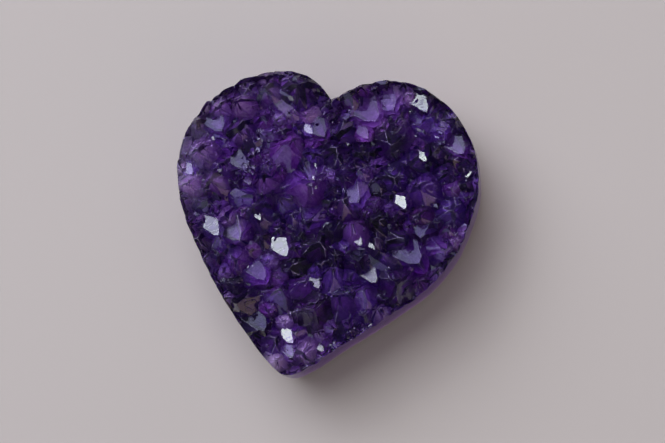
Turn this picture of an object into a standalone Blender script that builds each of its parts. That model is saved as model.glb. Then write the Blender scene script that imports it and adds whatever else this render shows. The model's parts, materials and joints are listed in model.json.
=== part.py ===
"""Amethyst druse heart: a slice of geode wall ground to a heart shape, lying on its flat back.

The crystals grew together from one bed, so the stone is one solid. Its back is flat, its sides
are ground and polished, and its upper face keeps the natural crystal points.
Metres, +Z up. The tip of the heart points to -Y, and the origin is under its middle, on the back.
"""

import math
import random

import bmesh
import bpy
from mathutils import Matrix, Vector

MM = 0.001

# Driving dimensions of the stone, in millimetres
BED_LEVEL = 11.0  # height of the hidden quartz bed that the crystals grow from, at the rim
DOME_RISE = 1.3  # how much higher the crystal bed stands in the middle
HEART_REACH = 25.0  # from the middle of the heart to its side, for the dome
BED_MARGIN = 4.0  # the bed and its crystals run past the outline, and are ground off there
BLANK_TOP = 26.0  # the blank is taller than every crystal

# The angle of quartz between a termination face's normal and the crystal's own axis
FACE_FROM_AXIS = math.radians(51.8)

# How a crystal is drawn, as shares of its visible width
ROOT_WIDTH = 1.28  # its hidden body is wider, so that neighbours grow into each other
ROOT_FLARE = math.radians(13.0)  # and widens downwards, which leaves no pocket under a leaning one
ROOT_LENGTH_MM = 8.0
TIP_LIFT = 1.9  # how far even the smallest crystal stands above the bed, in millimetres
TIP_RISE = 0.5  # and how much of its width comes on top
PIVOT_DEPTH = 1.0  # a crystal leans about a point this many widths below its tip
MINOR_FACE_DROP = 0.16  # every second termination face starts lower and stays smaller
FACE_JITTER = 0.10

# The filling between the landmark crystals: widths in millimetres, and how many are tried
FILL_WIDTHS = ((4.0, 60), (3.3, 200), (2.7, 500), (2.2, 900), (1.8, 1600))
FILL_SPACING = 0.44
LEAN_SPREAD = 13.0
SEED = 11

# The ground side is shaded round, with a crease at the notch and around the back
SIDE_CREASE = math.radians(30.0)

# The side's profile from the back upwards: height in millimetres, and share of the full outline
SIDE_PROFILE = (
    (0.0, 0.925),
    (0.5, 0.950),
    (1.4, 0.972),
    (3.2, 0.990),
    (6.0, 1.000),
    (9.5, 1.000),
    (13.5, 0.990),
    (BLANK_TOP, 0.955),
)

# The outline at the side's widest, clockwise from the notch, in millimetres
NOTCH = (-1.0, 20.9)
RIGHT_LOBE = ((3.4, 23.9), (9.2, 25.5), (15.8, 24.0), (21.7, 19.0), (25.1, 11.2), (24.8, 3.6))
RIGHT_FLANK = ((21.2, -5.8), (13.7, -13.7), (5.9, -20.3))
TIP = ((1.5, -24.1), (-1.8, -25.7), (-4.9, -24.1))
LEFT_FLANK = ((-8.9, -20.3), (-13.6, -15.2), (-19.8, -6.6), (-24.1, 1.2))
LEFT_LOBE = ((-25.4, 9.2), (-22.6, 17.0), (-16.3, 22.6), (-9.4, 24.9), (-4.4, 23.9))
OUTLINE = (NOTCH, *RIGHT_LOBE, *RIGHT_FLANK, *TIP, *LEFT_FLANK, *LEFT_LOBE)
OUTLINE_STEPS = 4  # straight steps between two outline points

# A crystal that lies over like this turns one broad end face up and to the left: it flashes white
FLASH = (34, 313, 43)
SHEEN = (28, 313, 43)  # a little less far over, the same face is only grey

# Crystals that anyone would recognise on this stone, in millimetres and degrees:
# x, y, visible width, lean, the heading it leans to (0 is +X, 90 is +Y), turn about its own axis
LANDMARKS = (
    (-2.7, 5.9, 7.2, 9, 30, 20),
    (-7.1, 10.9, 5.8, 12, 60, 40),
    (-9.8, 5.5, 3.2, 24, 120, 10),
    (5.6, 19.1, 4.8, 27, 320, 40),
    (10.4, 15.3, 5.4, 14, 260, 0),
    (3.8, 3.1, 3.2, 22, 100, 25),
    (5.6, 5.3, 3.9, 22, 292, 47),
    (9.0, 21.7, 4.0, 24, 290, 50),
    (13.9, 21.9, 3.3, *FLASH),
    (14.5, 18.4, 3.3, 10, 200, 35),
    (17.6, 17.9, 3.4, 12, 340, 20),
    (21.0, 15.5, 3.4, *SHEEN),
    (11.2, 9.1, 4.1, 6, 300, 15),
    (16.2, 7.7, 4.7, 12, 170, 44),
    (13.3, 4.8, 2.0, *FLASH),
    (-5.3, -5.2, 2.9, *FLASH),
    (-8.8, -9.7, 4.0, 27, 325, 38),
    (-12.4, -7.9, 3.6, 8, 240, 5),
    (-13.2, -3.4, 4.1, 24, 300, 52),
    (-17.2, -3.4, 2.8, *FLASH),
    (-21.0, 9.7, 4.9, 9, 200, 33),
    (-23.0, 5.9, 1.8, *FLASH),
    (-14.2, 8.1, 3.0, 30, 318, 40),
    (-6.4, 21.0, 5.8, 12, 90, 12),
    (-11.6, 20.4, 4.2, 14, 130, 50),
    (-15.6, 17.9, 3.8, 18, 160, 20),
    (-2.0, 15.2, 3.1, *SHEEN),
    (2.0, 21.1, 3.6, 16, 100, 41),
    (6.1, -0.9, 4.1, 20, 110, 18),
    (7.5, -5.1, 4.8, 9, 290, 26),
    (10.0, -7.7, 2.7, *SHEEN),
    (9.2, -11.1, 3.8, 16, 100, 30),
    (13.9, -7.9, 5.6, 10, 330, 3),
    (3.5, -8.7, 3.3, 24, 90, 20),
    (0.2, -3.9, 4.4, 12, 45, 52),
    (-2.6, -7.7, 4.1, 16, 210, 37),
    (5.8, -12.7, 4.2, 21, 120, 9),
    (-4.8, -12.9, 4.2, 18, 70, 48),
    (1.0, -14.7, 6.2, 8, 20, 24),
    (-7.6, -18.1, 4.5, 25, 330, 36),
    (-2.1, -19.4, 2.2, *FLASH),
    (-1.7, -21.7, 2.6, *SHEEN),
    (0.9, -20.9, 4.4, 14, 250, 31),
    (-3.7, -23.3, 2.9, 10, 320, 10),
    (16.3, -3.5, 5.0, 20, 315, 46),
    (20.2, -1.7, 3.7, 18, 350, 12),
    (21.0, 4.7, 4.4, 9, 10, 38),
    (9.6, 1.1, 4.2, 13, 180, 29),
    (-17.8, 4.3, 4.7, 14, 170, 57),
    (1.2, 11.5, 4.4, 12, 80, 16),
    (-15.3, 13.2, 4.7, 11, 140, 42),
    (-1.0, 0.4, 4.4, 17, 230, 6),
    (-10.0, 0.2, 4.2, 13, 150, 36),
    (-10.2, -14.7, 4.4, 16, 200, 23),
    (19.4, 10.7, 3.8, 12, 30, 51),
    (-19.4, 14.2, 3.6, 26, 313, 43),
    (5.4, 15.6, 2.0, *SHEEN),
    (-3.8, 15.0, 1.5, *FLASH),
)


def heart_edge():
    """The outline as a closed ring of edges: a flat Bezier curve, smooth but for the notch."""
    curve = bpy.data.curves.new("heart_outline", "CURVE")
    curve.dimensions = "2D"
    curve.fill_mode = "NONE"
    curve.resolution_u = OUTLINE_STEPS
    spline = curve.splines.new("BEZIER")
    spline.bezier_points.add(len(OUTLINE) - 1)
    spline.use_cyclic_u = True
    for point, (x, y) in zip(spline.bezier_points, OUTLINE):
        point.co = (x * MM, y * MM, 0.0)
        kind = "VECTOR" if (x, y) == NOTCH else "AUTO"
        point.handle_left_type = point.handle_right_type = kind
    guide = bpy.data.objects.new("heart_outline", curve)
    bpy.context.scene.collection.objects.link(guide)
    bpy.context.view_layer.update()
    ring = bpy.data.meshes.new_from_object(guide)
    bpy.data.objects.remove(guide)
    return ring


def to_object(name, bm, collection):
    """The finished bmesh as an object in the collection."""
    mesh = bpy.data.meshes.new(name)
    bm.to_mesh(mesh)
    bm.free()
    obj = bpy.data.objects.new(name, mesh)
    collection.objects.link(obj)
    return obj


def make_helper(obj):
    """Marks a tool shape, which isn't part of the stone."""
    obj.hide_render = True
    obj.display_type = "WIRE"


def ground_blank(collection):
    """The heart as the wheel grinds it: flat back, rounded back edge, slightly bulged sides."""
    bm = bmesh.new()
    bm.from_mesh(heart_edge())
    bmesh.ops.remove_doubles(bm, verts=bm.verts[:], dist=0.01 * MM)
    xs = [v.co.x for v in bm.verts]
    ys = [v.co.y for v in bm.verts]
    middle = Vector(((min(xs) + max(xs)) / 2, (min(ys) + max(ys)) / 2, 0.0))
    bmesh.ops.translate(bm, verts=bm.verts[:], vec=-middle)
    bmesh.ops.scale(bm, verts=bm.verts[:], vec=(SIDE_PROFILE[0][1], SIDE_PROFILE[0][1], 1.0))
    ring = bm.edges[:]
    bmesh.ops.contextual_create(bm, geom=ring)
    for (height, share), (next_height, next_share) in zip(SIDE_PROFILE, SIDE_PROFILE[1:]):
        grown = bmesh.ops.extrude_edge_only(bm, edges=ring)["geom"]
        ring = [g for g in grown if isinstance(g, bmesh.types.BMEdge)]
        verts = [g for g in grown if isinstance(g, bmesh.types.BMVert)]
        growth = next_share / share
        bmesh.ops.scale(bm, verts=verts, vec=(growth, growth, 1.0))
        bmesh.ops.translate(bm, verts=verts, vec=(0.0, 0.0, (next_height - height) * MM))
    bmesh.ops.contextual_create(bm, geom=ring)
    bmesh.ops.recalc_face_normals(bm, faces=bm.faces[:])
    for face in bm.faces:
        face.smooth = len(face.verts) == 4
    for edge in bm.edges:
        edge.smooth = edge.calc_face_angle() < SIDE_CREASE
    return to_object("ground_blank", bm, collection), middle


def quartz_point(width, rng):
    """One crystal with its tip near the origin and its root below: a prism cut by six end faces."""
    bm = bmesh.new()
    radius = 0.5 * width * ROOT_WIDTH / math.cos(math.pi / 6)
    flare = math.tan(ROOT_FLARE)
    bmesh.ops.create_cone(
        bm,
        cap_ends=True,
        segments=6,
        radius1=(radius + flare * ROOT_LENGTH_MM) * MM,
        radius2=(radius - flare * width) * MM,
        depth=(ROOT_LENGTH_MM + width) * MM,
        matrix=Matrix.Translation((0.0, 0.0, 0.5 * (width - ROOT_LENGTH_MM) * MM)),
    )
    for side in range(6):
        heading = math.radians(60 * side + 30)
        face_normal = Vector(
            (
                math.sin(FACE_FROM_AXIS) * math.cos(heading),
                math.sin(FACE_FROM_AXIS) * math.sin(heading),
                math.cos(FACE_FROM_AXIS),
            )
        )
        drop = FACE_JITTER * rng.random() - (MINOR_FACE_DROP if side % 2 == 0 else 0.0)
        cut = bmesh.ops.bisect_plane(
            bm,
            geom=bm.verts[:] + bm.edges[:] + bm.faces[:],
            dist=0.0001 * MM,
            plane_co=(0.0, 0.0, -drop * width * MM),
            plane_no=face_normal,
            clear_outer=True,
        )
        rim = [e for e in cut["geom_cut"] if isinstance(e, bmesh.types.BMEdge)]
        bmesh.ops.holes_fill(bm, edges=rim, sides=0)
    bmesh.ops.remove_doubles(bm, verts=bm.verts[:], dist=0.001 * MM)
    bmesh.ops.recalc_face_normals(bm, faces=bm.faces[:])
    return bm


def bed_height(x, y):
    """Height of the crystal bed over the back, in millimetres: a low dome."""
    reach = min(1.0, math.hypot(x, y) / HEART_REACH)
    return BED_LEVEL + DOME_RISE * (1.0 - reach * reach)


def fill_crystals(rng):
    """The landmark crystals, and smaller ones wherever there is room between them."""
    crystals = list(LANDMARKS)
    reach = HEART_REACH + BED_MARGIN
    for width, tries in FILL_WIDTHS:
        for _ in range(tries):
            x = rng.uniform(-reach, reach)
            y = rng.uniform(-reach, reach)
            size = width * rng.uniform(0.88, 1.12)
            lean = abs(rng.gauss(0.0, LEAN_SPREAD))
            heading = rng.uniform(0.0, 360.0)
            turn = rng.uniform(0.0, 60.0)
            clear = all(
                math.hypot(x - c[0], y - c[1]) > FILL_SPACING * (size + c[2]) for c in crystals
            )
            if clear:
                crystals.append((x, y, size, lean, heading, turn))
    return crystals


def place_crystal(index, crystal, middle, collection):
    """Turns the crystal about its own axis, leans it, and roots it in the bed."""
    x, y, width, lean, heading, turn = crystal
    rng = random.Random(1000 * SEED + index)
    bm = quartz_point(width, rng)
    tip_height = bed_height(x, y) + TIP_LIFT + TIP_RISE * width + rng.uniform(-0.35, 0.35)
    pivot = Vector((0.0, 0.0, -PIVOT_DEPTH * width * MM))
    across = math.radians(heading + 90.0)
    lean_axis = Vector((math.cos(across), math.sin(across), 0.0))
    matrix = (
        Matrix.Translation(Vector((x, y, tip_height)) * MM - middle)
        @ Matrix.Translation(pivot)
        @ Matrix.Rotation(math.radians(lean), 4, lean_axis)
        @ Matrix.Translation(-pivot)
        @ Matrix.Rotation(math.radians(turn), 4, "Z")
    )
    bmesh.ops.transform(bm, matrix=matrix, verts=bm.verts[:])
    make_helper(to_object(f"crystal_{index:03d}", bm, collection))


def crystal_bed(collection):
    """The quartz that the crystals grew from, larger than the heart until it's ground."""
    bm = bmesh.new()
    bmesh.ops.create_cone(
        bm,
        cap_ends=True,
        segments=24,
        radius1=(HEART_REACH + 3 * BED_MARGIN) * MM,
        radius2=(HEART_REACH + 2 * BED_MARGIN) * MM,
        depth=(BED_LEVEL + BED_MARGIN) * MM,
        matrix=Matrix.Translation((0.0, 0.0, (BED_LEVEL - BED_MARGIN) / 2 * MM)),
    )
    return to_object("amethyst_heart", bm, collection)


def amethyst_material():
    """Deep violet quartz with a polished surface."""
    material = bpy.data.materials.new("amethyst")
    material.use_nodes = True
    shader = material.node_tree.nodes["Principled BSDF"]
    shader.inputs["Base Color"].default_value = (0.085, 0.022, 0.23, 1.0)
    shader.inputs["Roughness"].default_value = 0.12
    shader.inputs["Metallic"].default_value = 0.0
    shader.inputs["IOR"].default_value = 1.544
    return material


def boolean(obj, name, operation, **operand):
    """A live Boolean on the object, with a single tool or a collection of them."""
    modifier = obj.modifiers.new(name, "BOOLEAN")
    modifier.operation = operation
    modifier.operand_type = "COLLECTION" if "collection" in operand else "OBJECT"
    for key, value in operand.items():
        setattr(modifier, key, value)


def main():
    for obj in list(bpy.data.objects):
        bpy.data.objects.remove(obj)
    stone = bpy.data.collections.new("amethyst_heart")
    tools = bpy.data.collections.new("tools")
    points = bpy.data.collections.new("crystals")
    for collection in (stone, tools, points):
        bpy.context.scene.collection.children.link(collection)

    blank, middle = ground_blank(tools)
    make_helper(blank)
    for index, crystal in enumerate(fill_crystals(random.Random(SEED))):
        place_crystal(index, crystal, middle, points)
    heart = crystal_bed(stone)
    boolean(heart, "grow_crystals", "UNION", collection=points)
    boolean(heart, "grind_to_heart", "INTERSECT", object=blank)
    heart.data.materials.append(amethyst_material())


main()
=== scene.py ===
# %% [markdown]
# # An amethyst heart
# The real thing is a slice of a geode's wall. Its face is a bed of violet quartz points, its
# sides are ground to a heart and polished, and its sawn back lies on the table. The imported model
# is loaded first, because every piece below has to sit exactly where it does.

import json
import math
import random

import bmesh
import bpy
from mathutils import Matrix, Vector
from mathutils.bvhtree import BVHTree

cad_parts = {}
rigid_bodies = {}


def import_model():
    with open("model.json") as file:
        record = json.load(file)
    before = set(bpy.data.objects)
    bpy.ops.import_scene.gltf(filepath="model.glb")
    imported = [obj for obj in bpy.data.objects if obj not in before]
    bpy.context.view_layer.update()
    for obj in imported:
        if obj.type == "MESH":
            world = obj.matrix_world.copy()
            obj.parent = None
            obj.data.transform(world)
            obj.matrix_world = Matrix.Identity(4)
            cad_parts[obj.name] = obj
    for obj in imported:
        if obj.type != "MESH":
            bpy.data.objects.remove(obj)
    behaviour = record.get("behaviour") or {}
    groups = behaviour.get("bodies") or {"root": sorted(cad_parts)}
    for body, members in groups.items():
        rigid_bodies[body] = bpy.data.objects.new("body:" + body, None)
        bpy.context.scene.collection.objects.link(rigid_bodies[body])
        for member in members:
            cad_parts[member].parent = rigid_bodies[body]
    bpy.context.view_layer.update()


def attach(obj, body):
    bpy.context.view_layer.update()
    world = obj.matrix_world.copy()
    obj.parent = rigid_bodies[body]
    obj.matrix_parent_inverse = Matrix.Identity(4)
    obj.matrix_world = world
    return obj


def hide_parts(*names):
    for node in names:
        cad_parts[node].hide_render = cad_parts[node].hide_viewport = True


MM = 0.001
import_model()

# %% [markdown]
# ## Small tools
# Modifiers could stay live, but a stone cut from hundreds of crystals is quicker to handle once
# its result is baked into one mesh. `bake` does that, and `combine` runs one Boolean and bakes
# it. `as_object` turns a bmesh into an object that sits at the origin, with its place in its
# mesh. `paint` gives faces a number, which the materials read further down.


# %% Make and bake objects
def as_object(name, bm, collection=None):
    mesh = bpy.data.meshes.new(name)
    bm.to_mesh(mesh)
    bm.free()
    obj = bpy.data.objects.new(name, mesh)
    (collection or bpy.context.scene.collection).objects.link(obj)
    return obj


def paint(bm, name, value, faces=None):
    layer = bm.faces.layers.float.get(name) or bm.faces.layers.float.new(name)
    for face in faces or bm.faces:
        face[layer] = value(face) if callable(value) else value


def bake(obj):
    bpy.context.view_layer.update()
    graph = bpy.context.evaluated_depsgraph_get()
    mesh = bpy.data.meshes.new_from_object(obj.evaluated_get(graph))
    obj.modifiers.clear()
    obj.data = mesh


def combine(obj, operation, tool):
    modifier = obj.modifiers.new(operation.lower(), "BOOLEAN")
    modifier.operation = operation
    modifier.solver = "MANIFOLD"
    if isinstance(tool, bpy.types.Collection):
        modifier.operand_type = "COLLECTION"
        modifier.collection = tool
    else:
        modifier.object = tool
    bake(obj)
    tools = list(tool.objects) if isinstance(tool, bpy.types.Collection) else [tool]
    for used in tools:
        bpy.data.objects.remove(used)


# %% [markdown]
# ## The ground heart
# A lapidary grinds the slice on a wheel until its outline is a heart, and rounds the back edge
# off. A flat Bezier curve gives that outline with few points. Its ring of edges is then extruded
# upwards in steps, and each step is scaled a little, which gives the side its slight bulge.

# %% The outline
NOTCH = (-1.0, 20.9)
OUTLINE = (
    (NOTCH, (3.4, 23.9), (9.2, 25.5), (15.8, 24.0), (21.7, 19.0), (25.1, 11.2), (24.8, 3.6))
    + ((21.2, -5.8), (13.7, -13.7), (5.9, -20.3), (1.5, -24.1), (-1.8, -25.7), (-4.9, -24.1))
    + ((-8.9, -20.3), (-13.6, -15.2), (-19.8, -6.6), (-24.1, 1.2), (-25.4, 9.2), (-22.6, 17.0))
    + ((-16.3, 22.6), (-9.4, 24.9), (-4.4, 23.9))
)
OUTLINE_STEPS = 4


def outline_ring():
    curve = bpy.data.curves.new("outline", "CURVE")
    curve.dimensions = "2D"
    curve.fill_mode = "NONE"
    curve.resolution_u = OUTLINE_STEPS
    spline = curve.splines.new("BEZIER")
    spline.bezier_points.add(len(OUTLINE) - 1)
    spline.use_cyclic_u = True
    for point, (x, y) in zip(spline.bezier_points, OUTLINE):
        point.co = (x * MM, y * MM, 0.0)
        point.handle_left_type = "VECTOR" if (x, y) == NOTCH else "AUTO"
        point.handle_right_type = point.handle_left_type
    guide = bpy.data.objects.new("outline", curve)
    bpy.context.scene.collection.objects.link(guide)
    bpy.context.view_layer.update()
    ring = bpy.data.meshes.new_from_object(guide)
    bpy.data.objects.remove(guide)
    return ring


print("outline:", len(OUTLINE), "points")

# %% Raise the side
# Each pair is a height in mm and the share of the full outline that the side has there.
SIDE_PROFILE = (
    ((0.0, 0.925), (0.5, 0.950), (1.4, 0.972), (3.2, 0.990), (6.0, 1.000), (9.5, 1.000))
    + ((13.5, 0.990), (26.0, 0.955))
)
SIDE_CREASE = math.radians(30.0)
HEART_REACH = 25.0
WELD = 0.01 * MM


def ground_heart(name, inset=0.0, floor=0.0):
    bm = bmesh.new()
    bm.from_mesh(outline_ring())
    bmesh.ops.remove_doubles(bm, verts=bm.verts[:], dist=WELD)
    xs = [v.co.x for v in bm.verts]
    ys = [v.co.y for v in bm.verts]
    middle = Vector(((min(xs) + max(xs)) / 2, (min(ys) + max(ys)) / 2, 0.0))
    bmesh.ops.translate(bm, verts=bm.verts[:], vec=Vector((0.0, 0.0, floor * MM)) - middle)
    slim = 1.0 - inset / HEART_REACH
    first = SIDE_PROFILE[0][1] * slim
    bmesh.ops.scale(bm, verts=bm.verts[:], vec=(first, first, 1.0))
    ring = bm.edges[:]
    bmesh.ops.contextual_create(bm, geom=ring)
    for (height, share), (next_height, next_share) in zip(SIDE_PROFILE, SIDE_PROFILE[1:]):
        grown = bmesh.ops.extrude_edge_only(bm, edges=ring)["geom"]
        ring = [part for part in grown if isinstance(part, bmesh.types.BMEdge)]
        verts = [part for part in grown if isinstance(part, bmesh.types.BMVert)]
        growth = next_share / share
        bmesh.ops.scale(bm, verts=verts, vec=(growth, growth, 1.0))
        bmesh.ops.translate(bm, verts=verts, vec=(0.0, 0.0, (next_height - height) * MM))
    bmesh.ops.contextual_create(bm, geom=ring)
    bmesh.ops.recalc_face_normals(bm, faces=bm.faces[:])
    for face in bm.faces:
        face.smooth = len(face.verts) == 4
    for edge in bm.edges:
        edge.smooth = edge.calc_face_angle() < SIDE_CREASE
    paint(bm, "ground", 1.0)
    print(f"{name}: {len(bm.faces)} faces")
    return as_object(name, bm), middle


blank, middle = ground_heart("blank")


# %% [markdown]
# ## One quartz point
# Quartz grows as a six-sided prism that ends in six sloping faces, three broad and three small,
# each leaning 51.8 degrees from the crystal's axis. A cone operator makes the prism, and
# `bisect_plane` cuts one face after another, as a crystal's own planes do. The root flares out,
# because crystals in a druse widen until they meet. A hair-thin bevel then wears the edges, so
# that they catch the light instead of vanishing.

# %% Cut one crystal
FACE_FROM_AXIS = math.radians(51.8)
ROOT_WIDTH = 1.28
ROOT_FLARE = math.radians(13.0)
ROOT_LENGTH = 8.0
MINOR_FACE_DROP = 0.16
FACE_JITTER = 0.10
WORN_REACH = 0.9
EDGE_STEPS = 3
FINE_WELD = 0.001 * MM
ON_PLANE = 0.0001 * MM


def quartz_point(width, rng, worn=0.0, steep=FACE_FROM_AXIS):
    bm = bmesh.new()
    radius = 0.5 * width * ROOT_WIDTH / math.cos(math.pi / 6)
    flare = math.tan(ROOT_FLARE)
    bmesh.ops.create_cone(
        bm,
        cap_ends=True,
        segments=6,
        radius1=(radius + flare * ROOT_LENGTH) * MM,
        radius2=(radius - flare * width) * MM,
        depth=(ROOT_LENGTH + width) * MM,
        matrix=Matrix.Translation((0.0, 0.0, 0.5 * (width - ROOT_LENGTH) * MM)),
    )
    for side in range(6):
        heading = math.radians(60 * side + 30)
        slope = Matrix.Rotation(heading, 3, "Z") @ Matrix.Rotation(steep, 3, "Y")
        drop = FACE_JITTER * rng.random() - (MINOR_FACE_DROP if side % 2 == 0 else 0.0)
        cut = bmesh.ops.bisect_plane(
            bm,
            geom=bm.verts[:] + bm.edges[:] + bm.faces[:],
            dist=ON_PLANE,
            plane_co=(0.0, 0.0, -drop * width * MM),
            plane_no=slope @ Vector((0.0, 0.0, 1.0)),
            clear_outer=True,
        )
        rim = [part for part in cut["geom_cut"] if isinstance(part, bmesh.types.BMEdge)]
        bmesh.ops.holes_fill(bm, edges=rim, sides=0)
    bmesh.ops.remove_doubles(bm, verts=bm.verts[:], dist=FINE_WELD)
    bmesh.ops.recalc_face_normals(bm, faces=bm.faces[:])
    paint(bm, "crystal", 1.0)
    paint(bm, "frost", lambda face: rng.random())
    paint(bm, "worn", 0.0)
    if worn:
        foot = -WORN_REACH * ROOT_LENGTH * MM
        upper = [edge for edge in bm.edges if min(v.co.z for v in edge.verts) > foot]
        bevelled = bmesh.ops.bevel(
            bm,
            geom=upper,
            offset=worn * MM,
            offset_type="OFFSET",
            affect="EDGES",
            segments=EDGE_STEPS,
            profile=0.5,
            material=-1,
            clamp_overlap=True,
        )
        paint(bm, "worn", 1.0, bevelled["faces"])
        bmesh.ops.remove_doubles(bm, verts=bm.verts[:], dist=FINE_WELD)
    return bm


sample = quartz_point(4.0, random.Random(0))
print("one point:", len(sample.faces), "faces")
sample.free()

# %% [markdown]
# ## Where the crystals stand
# A few dozen crystals give this stone its face, so each is listed: x, y and width in mm, then its
# lean, the heading of the lean and its turn in degrees, then how pale it is inside. FLASH is the
# stand in which a broad face mirrors the bright window, and SHEEN the one that mirrors the dim
# sheets around it. The rest is scattered by trying random spots, the widest crystals first, and
# keeping those with room: that is how a real druse packs too.

# %% The crystals that anyone would recognise
FLASH = (34, 313, 43)
SHEEN = (28, 313, 43)
LANDMARKS = (
    (-2.7, 5.9, 7.2, 9, 30, 20, 0.30),
    (-7.1, 10.9, 5.8, 12, 60, 40, 0.30),
    (-9.8, 5.5, 3.2, 24, 120, 10, 0.55),
    (5.6, 19.1, 4.8, 27, 320, 40, 0.45),
    (10.4, 15.3, 5.4, 14, 260, 0, 0.20),
    (3.8, 3.1, 3.2, 22, 100, 25, 0.50),
    (5.6, 5.3, 3.9, 22, 292, 47, 0.55),
    (9.0, 21.7, 4.0, 24, 290, 50, 0.55),
    (13.9, 21.9, 3.3, *FLASH, 0.25),
    (14.5, 18.4, 3.3, 10, 200, 35, 0.25),
    (17.6, 17.9, 3.4, 12, 340, 20, 0.35),
    (21.0, 15.5, 3.4, *SHEEN, 0.15),
    (11.2, 9.1, 4.1, 6, 300, 15, 0.30),
    (16.2, 7.7, 4.7, 12, 170, 44, 0.50),
    (13.3, 4.8, 2.0, *FLASH, 0.20),
    (-5.3, -5.2, 2.9, *FLASH, 0.15),
    (-8.8, -9.7, 4.0, 27, 325, 38, 0.45),
    (-12.4, -7.9, 3.6, 8, 240, 5, 0.35),
    (-13.2, -3.4, 4.1, 24, 300, 52, 0.40),
    (-17.2, -3.4, 2.8, *FLASH, -0.20),
    (-21.0, 9.7, 4.9, 9, 200, 33, 0.38),
    (-23.0, 5.9, 1.8, *FLASH, -0.40),
    (-14.2, 8.1, 3.0, 30, 318, 40, 0.60),
    (-6.4, 21.0, 5.8, 12, 90, 12, 0.55),
    (-11.6, 20.4, 4.2, 14, 130, 50, 0.45),
    (-15.6, 17.9, 3.8, 18, 160, 20, 0.60),
    (-2.0, 15.2, 3.1, *SHEEN, 0.25),
    (2.0, 21.1, 3.6, 16, 100, 41, 0.10),
    (6.1, -0.9, 4.1, 20, 110, 18, 0.55),
    (7.5, -5.1, 4.8, 9, 290, 26, 0.25),
    (10.0, -7.7, 2.7, *SHEEN, 0.20),
    (9.2, -11.1, 3.8, 16, 100, 30, 0.35),
    (13.9, -7.9, 5.6, 10, 330, 3, 0.12),
    (3.5, -8.7, 3.3, 24, 90, 20, 0.50),
    (0.2, -3.9, 4.4, 12, 45, 52, 0.30),
    (-2.6, -7.7, 4.1, 16, 210, 37, 0.30),
    (5.8, -12.7, 4.2, 21, 120, 9, 0.40),
    (-4.8, -12.9, 4.2, 18, 70, 48, 0.30),
    (1.0, -14.7, 6.2, 8, 20, 24, 0.08),
    (-7.6, -18.1, 4.5, 25, 330, 36, 0.35),
    (-2.1, -19.4, 2.2, *FLASH, 0.20),
    (-1.7, -21.7, 2.6, *SHEEN, 0.40),
    (0.9, -20.9, 4.4, 14, 250, 31, 0.55),
    (-3.7, -23.3, 2.9, 10, 320, 10, 0.80),
    (16.3, -3.5, 5.0, 20, 315, 46, 0.40),
    (20.2, -1.7, 3.7, 18, 350, 12, 0.50),
    (21.0, 4.7, 4.4, 9, 10, 38, 0.35),
    (9.6, 1.1, 4.2, 13, 180, 29, 0.40),
    (-17.8, 4.3, 4.7, 14, 170, 57, 0.60),
    (1.2, 11.5, 4.4, 12, 80, 16, 0.40),
    (-15.3, 13.2, 4.7, 11, 140, 42, 0.65),
    (-1.0, 0.4, 4.4, 17, 230, 6, 0.40),
    (-10.0, 0.2, 4.2, 13, 150, 36, 0.50),
    (-10.2, -14.7, 4.4, 16, 200, 23, 0.40),
    (19.4, 10.7, 3.8, 12, 30, 51, 0.30),
    (-19.4, 14.2, 3.6, 26, 313, 43, 0.40),
    (5.4, 15.6, 2.0, *SHEEN, 0.50),
    (-3.8, 15.0, 1.5, *FLASH, 0.20),
)

# %% Fill the gaps between them
# Each pair is a width in mm and the number of spots tried for it.
FILL_WIDTHS = ((4.0, 60), (3.3, 200), (2.7, 500), (2.2, 900), (1.8, 1600))
FILL_SHARES = (0.88, 1.12)
FILL_SPACING = 0.44
FILL_PALEST = 0.75
LEAN_SPREAD = 13.0
BED_MARGIN = 4.0
SEED = 11


def scatter(rng, tones):
    found = list(LANDMARKS)
    reach = HEART_REACH + BED_MARGIN
    for width, tries in FILL_WIDTHS:
        for _ in range(tries):
            x = rng.uniform(-reach, reach)
            y = rng.uniform(-reach, reach)
            size = width * rng.uniform(*FILL_SHARES)
            lean = abs(rng.gauss(0.0, LEAN_SPREAD))
            heading = rng.uniform(0.0, 360.0)
            turn = rng.uniform(0.0, 60.0)
            if all(math.hypot(x - c[0], y - c[1]) > FILL_SPACING * (size + c[2]) for c in found):
                found.append((x, y, size, lean, heading, turn, FILL_PALEST * tones.random()))
    return found


crystals = scatter(random.Random(SEED), random.Random(2 * SEED))
print(len(crystals), "crystals, of which", len(LANDMARKS), "are landmarks")

# %% [markdown]
# ## Growing the crystal bed
# Each crystal is turned about its own axis, leaned over and rooted in a bed of quartz. Copies of
# one mesh would be quicker, but then no two crystals could differ, so each is cut on its own. A
# Boolean union grows them into one solid, and an intersection with the ground heart cuts them off
# flush at the polished side, once the small ones are in.

# %% Stand a crystal in its place
BED_LEVEL = 11.0
DOME_RISE = 1.3
PIVOT_DEPTH = 1.0


def bed_height(x, y):
    reach = min(1.0, math.hypot(x, y) / HEART_REACH)
    return BED_LEVEL + DOME_RISE * (1.0 - reach * reach)


def stand(crystal, tip_height):
    x, y, width, lean, heading, turn = crystal[:6]
    pivot = Vector((0.0, 0.0, -PIVOT_DEPTH * width * MM))
    across = math.radians(heading + 90.0)
    return (
        Matrix.Translation(Vector((x, y, tip_height)) * MM - middle)
        @ Matrix.Translation(pivot)
        @ Matrix.Rotation(math.radians(lean), 4, (math.cos(across), math.sin(across), 0.0))
        @ Matrix.Translation(-pivot)
        @ Matrix.Rotation(math.radians(turn), 4, "Z")
    )


print("bed height in mm:", bed_height(HEART_REACH, 0.0), "to", bed_height(0.0, 0.0))

# %% The bed, and how the points join it
BED_SIDES = 24


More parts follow.
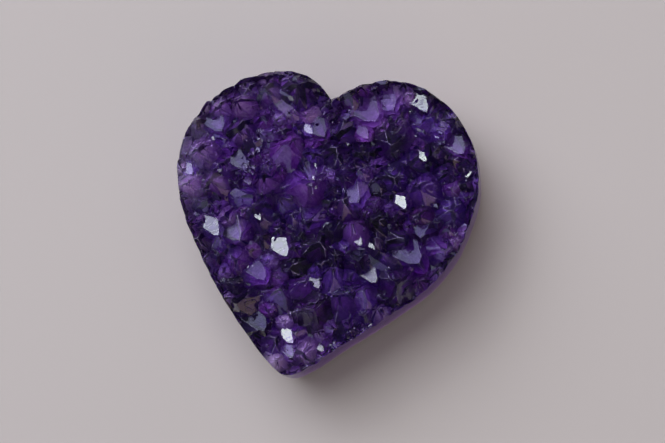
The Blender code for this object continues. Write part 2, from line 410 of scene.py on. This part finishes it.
def crystal_bed(name, level):
    bm = bmesh.new()
    bmesh.ops.create_cone(
        bm,
        cap_ends=True,
        segments=BED_SIDES,
        radius1=(HEART_REACH + 3 * BED_MARGIN) * MM,
        radius2=(HEART_REACH + 2 * BED_MARGIN) * MM,
        depth=(level + BED_MARGIN) * MM,
        matrix=Matrix.Translation((0.0, 0.0, (level - BED_MARGIN) / 2 * MM)),
    )
    return as_object(name, bm)


def join_points(name, parts, base):
    points = bpy.data.collections.new(name)
    bpy.context.scene.collection.children.link(points)
    for index, bm in enumerate(parts):
        as_object(f"{name}_{index:04d}", bm, points)
    combine(base, "UNION", points)
    bpy.data.collections.remove(points)
    print(f"{base.name} with {len(parts)} points: {len(base.data.polygons)} faces")
    return base


# %% [markdown]
# ## The outer points
# Every crystal has a random generator of its own, seeded with its number, so that its clouded
# twin inside can later find the same tip. Upright broad crystals also carry one to three small
# points on their shoulders, in parallel growth: such twins are what breaks up a large bare face.

# %% Grow the outer points
TIP_LIFT = 1.9
TIP_RISE = 0.5
TIP_JITTER = 0.35
EDGE_WEAR = 0.055
TWIN_MIN_WIDTH = 2.6
TWIN_MAX_LEAN = 20
TWIN_COUNT = 3
TWIN_SHARES = (0.16, 0.38)
TWIN_OFFSETS = (0.12, 0.36)
TWIN_LIFTS = (0.02, 0.08)
TWIN_DROP = 1.18
TWIN_TILT = 1.2


def own_rng(index):
    return random.Random(1000 * SEED + index)


def tip_of(crystal, rng):
    x, y, width = crystal[:3]
    return bed_height(x, y) + TIP_LIFT + TIP_RISE * width + rng.uniform(-TIP_JITTER, TIP_JITTER)


def twin_points(width, place, worn, rng):
    twins = []
    for _ in range(rng.randint(1, TWIN_COUNT)):
        share = rng.uniform(*TWIN_SHARES)
        around = rng.uniform(0.0, 2.0 * math.pi)
        off = width * rng.uniform(*TWIN_OFFSETS)
        shift = Vector((math.cos(around) * off, math.sin(around) * off, 0.0))
        shift.z = -off * TWIN_DROP + width * rng.uniform(*TWIN_LIFTS)
        twin = quartz_point(width * share, rng, worn)
        tilt = Matrix.Rotation(math.radians(rng.gauss(0.0, TWIN_TILT)), 4, "X")
        moved = place @ Matrix.Translation(shift * MM) @ tilt
        bmesh.ops.transform(twin, matrix=moved, verts=twin.verts[:])
        twins.append(twin)
    return twins


def outer_points(worn, sink, with_twins):
    parts = []
    for index, crystal in enumerate(crystals):
        width, lean = crystal[2:4]
        rng = own_rng(index)
        bm = quartz_point(width, rng, worn)
        place = stand(crystal, tip_of(crystal, rng) - sink)
        bmesh.ops.transform(bm, matrix=place, verts=bm.verts[:])
        parts.append(bm)
        if with_twins and width > TWIN_MIN_WIDTH and lean < TWIN_MAX_LEAN:
            parts += twin_points(width, place, worn, rng)
    return parts


quartz = join_points("point", outer_points(EDGE_WEAR, 0.0, True), crystal_bed("quartz", BED_LEVEL))

# %% [markdown]
# ## The small fry
# Between the large crystals sit hundreds of small ones, a few sprays of tiny ones that all face
# the window and sparkle together, and some single glints. They could be strewn with particles,
# but a Boolean needs real meshes. So each spot is drawn first, and a ray cast straight down then
# finds the surface, to root the crystal just under it. Spots on a peak are skipped.

# %% Draw the spots
# A spot is a crystal as in the list above, but ends with its lift above the surface in widths.
SCATTER_REACH = 27.0
SMALL_COUNT = 1500
SMALL_WIDTHS = (0.6, 1.8)
SMALL_SHARES = (0.7, 1.0)
SMALL_LEAN = 26.0
SMALL_LIFTS = (0.05, 0.28)
SPRAY_WIDTHS = (0.35, 0.75)
SPRAY_SCATTER = 7.0
SPRAY_LIFT = 0.35
GLINT_SCATTER = 1.0
GLINT_LIFT = 0.6
# x, y, spread and count.
SPRAYS = (
    (-1.4, 6.9, 1.1, 16),
    (-13.6, 7.2, 1.5, 16),
    (-11.1, 11.8, 1.5, 12),
    (5.2, -19.6, 0.8, 6),
    (14.2, 17.2, 1.2, 8),
    (17.6, 16.4, 1.2, 8),
)
# x, y and width.
GLINTS = (
    (-2.2, 9.2, 1.5),
    (15.5, 13.0, 1.4),
    (7.2, -2.4, 1.3),
    (3.1, -20.1, 1.7),
    (9.4, -2.9, 1.0),
    (-9.8, -0.6, 1.1),
)


def draw_spots(rng):
    spots = []
    while len(spots) < SMALL_COUNT:
        x = rng.uniform(-SCATTER_REACH, SCATTER_REACH)
        y = rng.uniform(-SCATTER_REACH, SCATTER_REACH)
        width = rng.uniform(*SMALL_WIDTHS) * rng.uniform(*SMALL_SHARES)
        lean = abs(rng.gauss(0.0, SMALL_LEAN))
        lift = rng.uniform(*SMALL_LIFTS)
        spots.append((x, y, width, lean, rng.uniform(0.0, 360.0), rng.uniform(0.0, 60.0), lift))
    for x, y, spread, count in SPRAYS:
        for _ in range(count):
            lean, heading, turn = (value + rng.gauss(0.0, SPRAY_SCATTER) for value in FLASH)
            width = rng.uniform(*SPRAY_WIDTHS)
            here = (x + rng.gauss(0.0, spread / 2), y + rng.gauss(0.0, spread / 2))
            spots.append((*here, width, lean, heading, turn, SPRAY_LIFT))
    for x, y, width in GLINTS:
        lean, heading, turn = (value + rng.gauss(0.0, GLINT_SCATTER) for value in FLASH)
        spots.append((x, y, width, lean, heading, turn, GLINT_LIFT))
    return spots


small_rng = random.Random(3 * SEED)
spots = draw_spots(small_rng)
print("spots for small crystals:", len(spots))

# %% Root a small crystal at each spot
RAY_START = 30.0
DOWN = Vector((0.0, 0.0, -1.0))
ROUND_ABOUT = ((1.2, 0), (-1.2, 0), (0, 1.2), (0, -1.2))
PEAK = 0.1
SMALL_STAND = 0.12


def small_points(body, rng):
    tree = BVHTree.FromObject(body, bpy.context.evaluated_depsgraph_get())
    parts = []
    for spot in spots:
        x, y, width, lift = *spot[:3], spot[6]
        start = Vector((x, y, RAY_START)) * MM - middle
        hit = tree.ray_cast(start, DOWN)[0]
        if hit is None:
            continue
        around = [start + Vector((dx, dy, 0.0)) * MM for dx, dy in ROUND_ABOUT]
        near = [tree.ray_cast(place, DOWN)[0] for place in around]
        if any(point is None for point in near):
            continue
        mean = sum(point.z for point in near) / len(near)
        if hit.z > mean + PEAK * MM and lift <= SMALL_LIFTS[1]:
            continue
        bm = quartz_point(width, rng)
        tip = (hit + middle).z / MM + lift * width + SMALL_STAND
        bmesh.ops.transform(bm, matrix=stand(spot, tip), verts=bm.verts[:])
        parts.append(bm)
    return parts


join_points("small", small_points(quartz, small_rng), quartz)
combine(quartz, "INTERSECT", blank)
print("quartz, ground to the heart:", len(quartz.data.polygons), "faces")

# %% [markdown]
# ## Where the stone is milky, and where light is painted on
# The druse isn't equally deep in colour all over. Towards its upper left and left rim, which face
# the window, it is paler: partly milky quartz and partly painted light. A patch low in the middle
# is darker. Painting that by hand isn't repeatable, so soft round glows are listed instead, and
# their sum is the paleness of a spot. The clear quartz keeps it as an attribute, for a thin haze on
# its surface, which is painted backlight at the left rim.

# %% Sum the glows
BASE_GLOW = 0.05
GLOW_EDGE = 0.6
# x, y and reach in mm, then strength.
# Glows at the upper left and the left rim are painted light from the window, partly on milky
# quartz.
GLOWS = (
    (-27.0, 10.0, 11.0, 0.60),
    (-13.0, 21.5, 9.0, 0.28),
    (-7.5, 22.0, 7.0, 0.13),
    (-23.0, 3.5, 7.0, 0.34),
    (-20.0, -5.0, 9.0, 0.26),
    (-4.0, 9.0, 12.0, 0.16),
    (9.0, 22.0, 9.0, 0.24),
    (-1.0, -23.0, 9.0, 0.42),
    (-1.0, -9.5, 10.0, -0.16),
    (17.0, -11.0, 8.0, 0.22),
)


def paleness(x, y):
    total = BASE_GLOW
    for glow_x, glow_y, reach, strength in GLOWS:
        nearness = 1.0 - math.hypot(x - glow_x, y - glow_y) / reach
        total += strength * min(1.0, max(0.0, nearness / GLOW_EDGE))
    return total


# Paleness at each vertex: milky quartz, and painted light towards the window.
places = [(vertex.co + middle) / MM for vertex in quartz.data.vertices]
milky_and_lit = [paleness(place.x, place.y) for place in places]
quartz.data.attributes.new("pale", "FLOAT", "POINT").data.foreach_set("value", milky_and_lit)
print("paleness:", round(min(milky_and_lit), 2), "to", round(max(milky_and_lit), 2))

# %% [markdown]
# ## Phantoms and root
# Under its clear skin each crystal is clouded: fine veils stopped growing with it, in thin layers
# that copy its faces. They are what one sees glowing inside. A fog inside the glass would be
# truer and far slower, so points are grown a second time, sunk under the tips, as one body that
# runs down to the milky root of the slice. Steep ones look deep, because the clear violet over
# them thickens quickly, and needles between them keep the root from looking smooth.

# %% Cloud one point
STEEP = (58.0, 76.0)
HUE_SPREAD = 0.12


def steep_point(width, rng):
    return quartz_point(width, rng, steep=math.radians(rng.uniform(*STEEP)))


def cloud_point(bm, place, tip, tone, tone_spread, rng):
    bmesh.ops.transform(bm, matrix=stand(place, tip), verts=bm.verts[:])
    blush = rng.random()
    paint(bm, "tone", lambda face: tone + rng.gauss(0.0, tone_spread))
    paint(bm, "hue", lambda face: blush + rng.gauss(0.0, HUE_SPREAD))
    return bm


# %% Sink a phantom under every crystal
PHANTOM_SINK = (1.2, 6.0)
SINK_BIAS = 1.3
DEEP_WIDTH = 4.0
PALE_SINK = 1.3
PHANTOM_SHARES = (0.7, 1.0)
PHANTOM_LEAN = 5.0
PHANTOM_TURN = 8.0
PHANTOM_TONES = 0.05


def phantoms(rng):
    parts = []
    for index, crystal in enumerate(crystals):
        x, y, width, lean, heading, turn, tone = crystal
        # Paleness lightens the phantom: milky quartz, and painted light towards the window.
        tone += paleness(x, y)
        # The outer point's draws are made again, so that its tip comes out the same.
        own = own_rng(index)
        quartz_point(width, own).free()
        tip = tip_of(crystal, own)
        low, high = PHANTOM_SINK
        deep = (high - low) * rng.random() ** SINK_BIAS
        sink = low + deep * min(1.0, width / DEEP_WIDTH) * (PALE_SINK - tone)
        bm = steep_point(width * rng.uniform(*PHANTOM_SHARES), rng)
        lean += rng.gauss(0.0, PHANTOM_LEAN)
        place = (x, y, width, lean, heading, turn + rng.gauss(0.0, PHANTOM_TURN))
        parts.append(cloud_point(bm, place, tip - sink, tone, PHANTOM_TONES, rng))
    return parts


# %% Scatter needles between them
NEEDLE_COUNT = 420
NEEDLE_REACH = 26.0
NEEDLE_WIDTHS = (0.6, 2.2)
NEEDLE_LEAN = 26.0
NEEDLE_TIPS = (-4.0, -0.2)
NEEDLE_BIAS = 1.5
NEEDLE_PALEST = 0.8
NEEDLE_TONES = 0.08


def needles(rng):
    parts = []
    for _ in range(NEEDLE_COUNT):
        x = rng.uniform(-NEEDLE_REACH, NEEDLE_REACH)
        y = rng.uniform(-NEEDLE_REACH, NEEDLE_REACH)
        width = rng.uniform(*NEEDLE_WIDTHS)
        lean = abs(rng.gauss(0.0, NEEDLE_LEAN))
        place = (x, y, width, lean, rng.uniform(0, 360), rng.uniform(0, 60))
        tip = bed_height(x, y) + rng.uniform(*NEEDLE_TIPS)
        bm = steep_point(width, rng)
        # Paleness lightens the needle too: milky quartz, and painted light towards the window.
        tone = rng.random() ** NEEDLE_BIAS * NEEDLE_PALEST + paleness(x, y)
        parts.append(cloud_point(bm, place, tip, tone, NEEDLE_TONES, rng))
    return parts


# %% Grow the clouded inside
# It stays under a clear skin: the outer points sunk a little, and a slightly slimmer heart.
ROOT_LEVEL = 7.0
SKIN = 0.15
SKIN_FLOOR = 0.12
CLEAR_SKIN = 0.9

inner_blank, _ = ground_heart("inner_blank", inset=SKIN, floor=SKIN_FLOOR)
sunken = outer_points(0.0, CLEAR_SKIN, False)
limit = join_points("limit", sunken, crystal_bed("limit", BED_LEVEL - CLEAR_SKIN))
phantom_rng = random.Random(5 * SEED)
clouds = phantoms(phantom_rng) + needles(phantom_rng)
root = join_points("phantom", clouds, crystal_bed("clouded_root", ROOT_LEVEL))
combine(root, "INTERSECT", limit)
combine(root, "INTERSECT", inner_blank)
print("clouded root:", len(root.data.polygons), "faces")

# %% [markdown]
# ## Shader maths in plain Python
# A material is a graph of nodes. Adding Math nodes one at a time hides what they compute, so a
# small class wraps a node's output and lets Python's own operators add them. Every other node
# comes from one method, which sets what the node is first and then feeds its sockets.


# %% A wire between sockets
class Wire:
    def __init__(self, finish, socket):
        self.finish = finish
        self.socket = socket

    def math(self, operation, *values):
        inputs = dict(enumerate(values))
        return self.finish.node("Math", {"operation": operation}, inputs)

    def __add__(self, other):
        return self.math("ADD", self, other)

    def __sub__(self, other):
        return self.math("SUBTRACT", self, other)

    def __mul__(self, other):
        return self.math("MULTIPLY", self, other)

    def __rsub__(self, other):
        return self.math("SUBTRACT", other, self)

    __radd__ = __add__
    __rmul__ = __mul__


# %% A finish and its nodes
class Finish:
    def __init__(self, name):
        self.material = bpy.data.materials.new(name)
        self.material.use_nodes = True
        self.tree = self.material.node_tree
        self.shader = self.tree.nodes["Principled BSDF"]
        self.output = self.tree.nodes["Material Output"]

    def feed(self, socket, value):
        if isinstance(value, Wire):
            self.tree.links.new(value.socket, socket)
        else:
            socket.default_value = value

    def node(self, kind, settings=None, inputs=None, output=0):
        made = self.tree.nodes.new("ShaderNode" + kind)
        for key, value in (settings or {}).items():
            if key == "stops":
                set_stops(made.color_ramp, value)
            else:
                setattr(made, key, value)
        for key, value in (inputs or {}).items():
            self.feed(made.inputs[key], value)
        return Wire(self, made.outputs[output])

    def set(self, **values):
        for key, value in values.items():
            self.feed(self.shader.inputs[key.replace("_", " ")], value)

    def noise(self, scale, detail=3.0, roughness=0.5, distortion=0.0):
        inputs = {"Vector": self.place, "Scale": scale, "Detail": detail}
        inputs |= {"Roughness": roughness, "Distortion": distortion}
        return self.node("TexNoise", {}, inputs)

    def between(self, value, low, high):
        inputs = {"Value": value, "From Min": low, "From Max": high}
        return self.node("MapRange", {"interpolation_type": "SMOOTHSTEP"}, inputs)

    def blend(self, factor, first, second, mode="MIX"):
        inputs = {0: factor, 6: first, 7: second}
        return self.node("Mix", {"data_type": "RGBA", "blend_type": mode}, inputs, output=2)

    def attribute(self, name):
        return self.node("Attribute", {"attribute_name": name}, output=2)

    def stretched(self, *scale):
        return self.node("Mapping", {}, {"Vector": self.place, "Scale": scale})

    def dress(self, piece):
        piece.data.materials.clear()
        piece.data.materials.append(self.material)
        print(f"{self.material.name} on {piece.name}: {len(self.tree.nodes)} nodes")

    @property
    def place(self):
        return self.node("TexCoord", output=3)


def set_stops(ramp, stops):
    while len(ramp.elements) < len(stops):
        ramp.elements.new(0.5)
    for element, (position, color) in zip(ramp.elements, stops):
        element.position = position
        element.color = (*color, 1.0)


# %% [markdown]
# ## The bands of the polished side
# Cut across, amethyst shows how it grew: a thin agate skin, a dark line, a milky root, and then
# ever deeper violet in zigzag zones, because each crystal's tip made its own tooth in every
# layer. Height in the stone picks the layer from a colour ramp. Broad noise lets the layers
# wander, noise stretched along the height gives the teeth, and one-dimensional noise over the
# same level darkens the zones.

# %% Colour by height
SIDE_HEIGHT = 15.0
WANDER = 3.0
TOOTH = 4.0
ZONES = 4.5
ZONE_TINT = (0.18, 0.12, 0.26, 1.0)
LAYERS = (
    (0.00, (0.300, 0.330, 0.260)),
    (0.06, (0.380, 0.400, 0.330)),
    (0.085, (0.080, 0.070, 0.080)),
    (0.11, (0.540, 0.460, 0.580)),
    (0.24, (0.440, 0.260, 0.600)),
    (0.40, (0.270, 0.080, 0.500)),
    (0.58, (0.175, 0.036, 0.380)),
    (1.00, (0.060, 0.010, 0.180)),
)


def side_bands(finish):
    height = finish.node("SeparateXYZ", {}, {0: finish.place}, output=2) * (1.0 / MM)
    wander = (finish.noise(130.0, detail=4.0, roughness=0.6) - 0.5) * WANDER
    columns = {"Vector": finish.stretched(1.0, 1.0, 0.12), "Scale": 400.0, "Detail": 3.0}
    teeth = (finish.node("TexNoise", {}, columns) - 0.5) * TOOTH
    level = (height + wander + teeth) * (1.0 / SIDE_HEIGHT)
    zone = {"W": level * ZONES, "Scale": 1.0, "Detail": 4.0, "Roughness": 0.6}
    zone = finish.node("TexNoise", {"noise_dimensions": "1D"}, zone)
    layers = finish.node("ValToRGB", {"stops": LAYERS}, {0: level})
    shaded = finish.blend(1.0, layers, ZONE_TINT, mode="MULTIPLY")
    return finish.blend(finish.between(zone, 0.36, 0.60), shaded, layers)


print("layers in the side:", len(LAYERS))

# %% [markdown]
# ## Clear violet quartz
# The outer crystals are plain see-through quartz. Their colour isn't on the surface: it's in the
# depth, so it comes from Volume Absorption, which swallows green first, then red, then blue. The
# faces are nearly flat. A very low bump gives them slow waves and fine growth steps, and etches a
# few of them: more bump would bend the mirrored window into blobs.

# %% The glass of the crystals
CLEAR = (1.0, 1.0, 1.0, 1.0)
QUARTZ_IOR = 1.544
VIOLET = (0.46, 0.17, 0.62, 1.0)
DEPTH_OF_COLOUR = 500.0
RELIEF = 0.00012
WAVE_SHARE, STEP_SHARE, ETCH_SHARE = 0.28, 0.09, 0.08
BRIGHT_ROUGHNESS, ETCHED_ROUGHNESS = 0.02, 0.22

clear = Finish("clear_amethyst")
crystal_face = clear.attribute("crystal")
etched = clear.between(clear.attribute("frost"), 0.72, 0.9)
waves = clear.noise(330.0, detail=1.0)
contours = {"Vector": clear.stretched(1.0, 1.0, 5.0), "Scale": 700.0, "Detail": 2.0}
steps = clear.node("TexNoise", {}, contours)
pits = clear.noise(2600.0) * etched
relief = (waves * WAVE_SHARE + steps * STEP_SHARE + pits * ETCH_SHARE) * crystal_face
bump = clear.node("Bump", {}, {"Strength": 1.0, "Distance": RELIEF, "Height": relief})
clear.set(
    Base_Color=CLEAR,
    Transmission_Weight=1.0,
    IOR=QUARTZ_IOR,
    Roughness=etched * ETCHED_ROUGHNESS + BRIGHT_ROUGHNESS,
    Normal=bump,
)
glass = Wire(clear, clear.shader.outputs[0])
depth = clear.node("VolumeAbsorption", {}, {"Color": VIOLET, "Density": DEPTH_OF_COLOUR})
print("absorption per mm:", DEPTH_OF_COLOUR * MM)

# %% [markdown]
# ## What covers the glass, and light painted on it
# No druse is spotless. Dust lies on it, its worn edges are chipped, and a few specks of pale
# mineral sit on it. The pale chips on the worn edges are also painted edge highlights, and where
# the stone is paler a haze lies over it, partly milky and partly painted light, painted backlight
# at the left rim. All of them are one pale diffuse shader, and a Mix Shader's factor says how much
# of it shows where. On the ground side the growth bands take over, with only a little of the glass
# left.

# %% Dust, haze and chips with painted light, and specks
# The pale colour of all the cover, which also paints light: the haze and the edge highlights.
COVER_COLOR_AND_LIGHT = (0.62, 0.50, 0.84, 1.0)
DUST, DUST_FLOOR = 0.012, 0.002
HAZE_AND_LIGHT = 0.18
CHIPPED_AND_LIT = 0.26
SPECKED = 0.9

dust = clear.between(clear.noise(420.0, detail=4.0, roughness=0.65), 0.40, 0.8)
# Haze over the paler parts: partly milky, partly painted light, and painted backlight at the left
# rim.
haze_and_backlight = clear.between(clear.noise(300.0, detail=5.0, roughness=0.7), 0.35, 0.75)
haze_and_backlight = clear.between(clear.attribute("pale"), 0.35, 0.85) * haze_and_backlight
# Chips on the worn edges: real wear that also paints a highlight along the edges.
chips_and_edge_light = clear.between(clear.noise(420.0, detail=2.0), 0.50, 0.66)
chips_and_edge_light = clear.between(clear.noise(3200.0, detail=1.0), 0.36, 0.58) * chips_and_edge_light * clear.attribute("worn")
cells = clear.node("TexVoronoi", {}, {"Vector": clear.place, "Scale": 1100.0})
specks = clear.between(cells, 0.11, 0.07) * clear.between(clear.noise(260.0), 0.52, 0.64)
specks = specks * crystal_face
covered = dust * DUST + DUST_FLOOR + haze_and_backlight * HAZE_AND_LIGHT + chips_and_edge_light * CHIPPED_AND_LIT + specks * SPECKED
# One pale diffuse for dust and specks, and for the painted haze and edge highlights.
cover_and_light = clear.node("BsdfDiffuse", {}, {"Color": COVER_COLOR_AND_LIGHT, "Roughness": 0.5})

# %% The polished side, and all of it together
POLISHED = 0.9
POLISH_ROUGHNESS = 0.14
POLISH_SPECULAR = 0.07

polish = {"Base Color": side_bands(clear), "Roughness": POLISH_ROUGHNESS}
polish["Specular IOR Level"] = POLISH_SPECULAR
polish = clear.node("BsdfPrincipled", {}, polish)
skin = clear.node("MixShader", {}, {0: clear.attribute("ground") * POLISHED, 1: glass, 2: polish})
surface = clear.node("MixShader", {}, {0: covered, 1: skin, 2: cover_and_light})
clear.feed(clear.output.inputs["Surface"], surface)
clear.feed(clear.output.inputs["Volume"], depth)
clear.dress(quartz)

# %% [markdown]
# ## The clouded inside
# The root is a body of tiny scattering veils. Each face has its own tone, from nearly black
# violet to milky lilac, and its own hue between a bluish and a reddish violet. Clouds of noise
# vary the tone within a crystal. One ramp alone would make all crystals the same violet, so there
# are two.

# %% The clouded root's finish
TONE_SHARE, TONE_LIFT = 0.88, 0.065
VEIL_SHARE = 0.90
COOL = (
    (0.00, (0.012, 0.005, 0.055)),
    (0.45, (0.150, 0.062, 0.430)),
    (0.80, (0.380, 0.260, 0.620)),
    (1.00, (0.700, 0.650, 0.780)),
)
WARM = (
    (0.00, (0.030, 0.005, 0.050)),
    (0.45, (0.260, 0.068, 0.420)),
    (0.80, (0.460, 0.250, 0.600)),
    (1.00, (0.720, 0.620, 0.780)),
)

cloud = Finish("clouded_quartz")
veils = cloud.noise(1000.0, detail=6.0, roughness=0.70, distortion=0.7)
# The tone includes the paleness, so it carries the painted light towards the window.
shade = cloud.attribute("tone") * TONE_SHARE + (veils - 0.5) * VEIL_SHARE + TONE_LIFT
cool = cloud.node("ValToRGB", {"stops": COOL}, {0: shade})
warm = cloud.node("ValToRGB", {"stops": WARM}, {0: shade})
violets = cloud.blend(cloud.attribute("hue"), cool, warm)
banded = cloud.blend(cloud.attribute("ground"), violets, side_bands(cloud))
cloud.set(Base_Color=banded, Roughness=0.5)
cloud.dress(root)

# %% [markdown]
# ## Riding on the stone
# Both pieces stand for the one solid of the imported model, so it's hidden and they ride on its
# body.

# %% Put the pieces on the frame
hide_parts("amethyst_heart")
for piece in (quartz, root):
    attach(piece, "root")
print("pieces:", [piece.name for piece in (quartz, root)])

# %% [markdown]
# ## Floor and camera
# The stone lies on a plain pale floor, which is stage and not part of it. The camera looks down
# on it, a little off the vertical. Its lens is worked out from the width that the view has at the
# stone, so that it can move without changing the picture's framing.

# %% The floor
FLOOR_SIZE = 1.5

bm = bmesh.new()
bmesh.ops.create_grid(bm, x_segments=1, y_segments=1, size=FLOOR_SIZE)
floor = as_object("floor", bm)
pale_floor = Finish("pale_floor")
pale_floor.set(Base_Color=(0.285, 0.260, 0.236, 1.0), Roughness=0.9)
pale_floor.dress(floor)

# %% The camera looks down on the stone
STONE_MIDDLE = Vector((0.0, 0.0, 0.012))
CAMERA_OFF_VERTICAL = math.radians(10.0)
CAMERA_HEADING = math.radians(-40.0)
CAMERA_ROLL = math.radians(8.5)
CAMERA_DISTANCE = 0.275
VIEW_WIDTH = 0.1101
SENSOR = 36.0

camera = bpy.data.objects.new("camera", bpy.data.cameras.new("camera"))
bpy.context.scene.collection.objects.link(camera)
bpy.context.scene.camera = camera
tilted = Vector((math.sin(CAMERA_OFF_VERTICAL), 0.0, math.cos(CAMERA_OFF_VERTICAL)))
towards = Matrix.Rotation(CAMERA_HEADING, 3, "Z") @ tilted
up = (Vector((0.0, 1.0, 0.0)) - towards * towards.y).normalized()
up.rotate(Matrix.Rotation(CAMERA_ROLL, 3, towards))
aim = Matrix((up.cross(towards), up, towards)).transposed()
camera.location = STONE_MIDDLE + towards * CAMERA_DISTANCE
camera.rotation_euler = aim.to_euler()
camera.data.sensor_width = SENSOR
camera.data.lens = SENSOR * CAMERA_DISTANCE / VIEW_WIDTH
camera.data.clip_start = 0.01
camera.data.shift_x = 0.019
camera.data.shift_y = 0.005
print("lens:", round(camera.data.lens), "mm")

# %% [markdown]
# ## Soft light
# Crystals show what they mirror, so the boxes matter as much as the stone. A bright window at the
# upper left gives the white flashes. It is a stack of narrow panes of unlike brightness, because
# an even one makes every flash the same flat white. Larger and larger sheets behind it fade into
# the dark and give the grey-blue faces. Low coloured walls tint the steep faces. Day and sky
# light the inside but aren't mirrored, so that the rest of the room stays dark and the violet
# deep.


# %% One soft box
def soft_box(name, heading, height, distance, size, radiance, color):
    light = bpy.data.lights.new(name, "AREA")
    light.shape = "RECTANGLE"
    light.size, light.size_y = size
    light.energy = radiance * math.pi * size[0] * size[1]
    light.color = color
    lamp = bpy.data.objects.new(name, light)
    bpy.context.scene.collection.objects.link(lamp)
    turn = Matrix.Rotation(math.radians(heading), 3, "Z")
    outward = turn @ Matrix.Rotation(-math.radians(height), 3, "Y") @ Vector((1.0, 0.0, 0.0))
    lamp.location = STONE_MIDDLE + outward * distance
    lamp.rotation_euler = outward.to_track_quat("Z", "Y").to_euler()
    return lamp


# %% The window and the sheets behind it
WINDOW_HEADING = 135
WINDOW_HEIGHT = 45
PANES = (0.8, 2.5, 6.5, 11.0, 5.0, 1.8)
PANE_SIZE = (0.26, 0.047)
PANE_FOOT = 38.5
PANE_STEP = 2.6
PANE_COLOR = (0.90, 1.0, 0.87)
# The side of a sheet in m, and its radiance.
SHEETS = ((0.34, 1.2), (0.46, 1.2), (0.58, 1.0), (0.80, 0.7), (1.05, 0.6), (1.35, 0.6))
SHEET_COLOR = (0.56, 0.58, 0.86)

for index, radiance in enumerate(PANES):
    height = PANE_FOOT + PANE_STEP * index
    soft_box(f"pane_{index}", WINDOW_HEADING, height, 1.02, PANE_SIZE, radiance, PANE_COLOR)
for index, (side, radiance) in enumerate(SHEETS):
    away = 1.04 + 0.01 * index
    size = (side, side)
    soft_box(f"sheet_{index}", WINDOW_HEADING, WINDOW_HEIGHT, away, size, radiance, SHEET_COLOR)
print("window:", len(PANES), "panes before", len(SHEETS), "sheets")

# %% The walls, the day and the sky
WALLS = (
    ("warm_wall", -40, 24, 1.2, (1.3, 0.8), 1.1, (1.0, 0.66, 0.72)),
    ("cool_wall", 135, 12, 1.3, (1.4, 0.6), 1.5, (0.55, 0.58, 1.0)),
    ("mauve_wall", 60, 20, 1.3, (1.0, 0.6), 0.8, (0.90, 0.62, 1.0)),
    ("grey_wall", -125, 20, 1.3, (1.0, 0.6), 1.0, (0.60, 0.60, 1.0)),
)
DAYLIGHT = (0.95, 0.97, 1.0)
UNSEEN = (
    ("day", 135, 50, 1.6, (1.8, 1.8), 4.2, DAYLIGHT),
    ("sky", 0, 90, 1.6, (4.0, 4.0), 0.6, DAYLIGHT),
)

for wall in WALLS:
    soft_box(*wall)
for box in UNSEEN:
    soft_box(*box).visible_glossy = False
print("lights:", len(bpy.data.lights))

# %% The dim room, and how far light is followed
BOUNCES = 16

scene = bpy.context.scene
scene.world = bpy.data.worlds.new("dim_room")
scene.world.use_nodes = True
background = scene.world.node_tree.nodes["Background"]
background.inputs["Color"].default_value = (0.9, 0.92, 1.0, 1.0)
background.inputs["Strength"].default_value = 0.04
scene.view_settings.view_transform = "Standard"
scene.cycles.max_bounces = BOUNCES
scene.cycles.transmission_bounces = BOUNCES
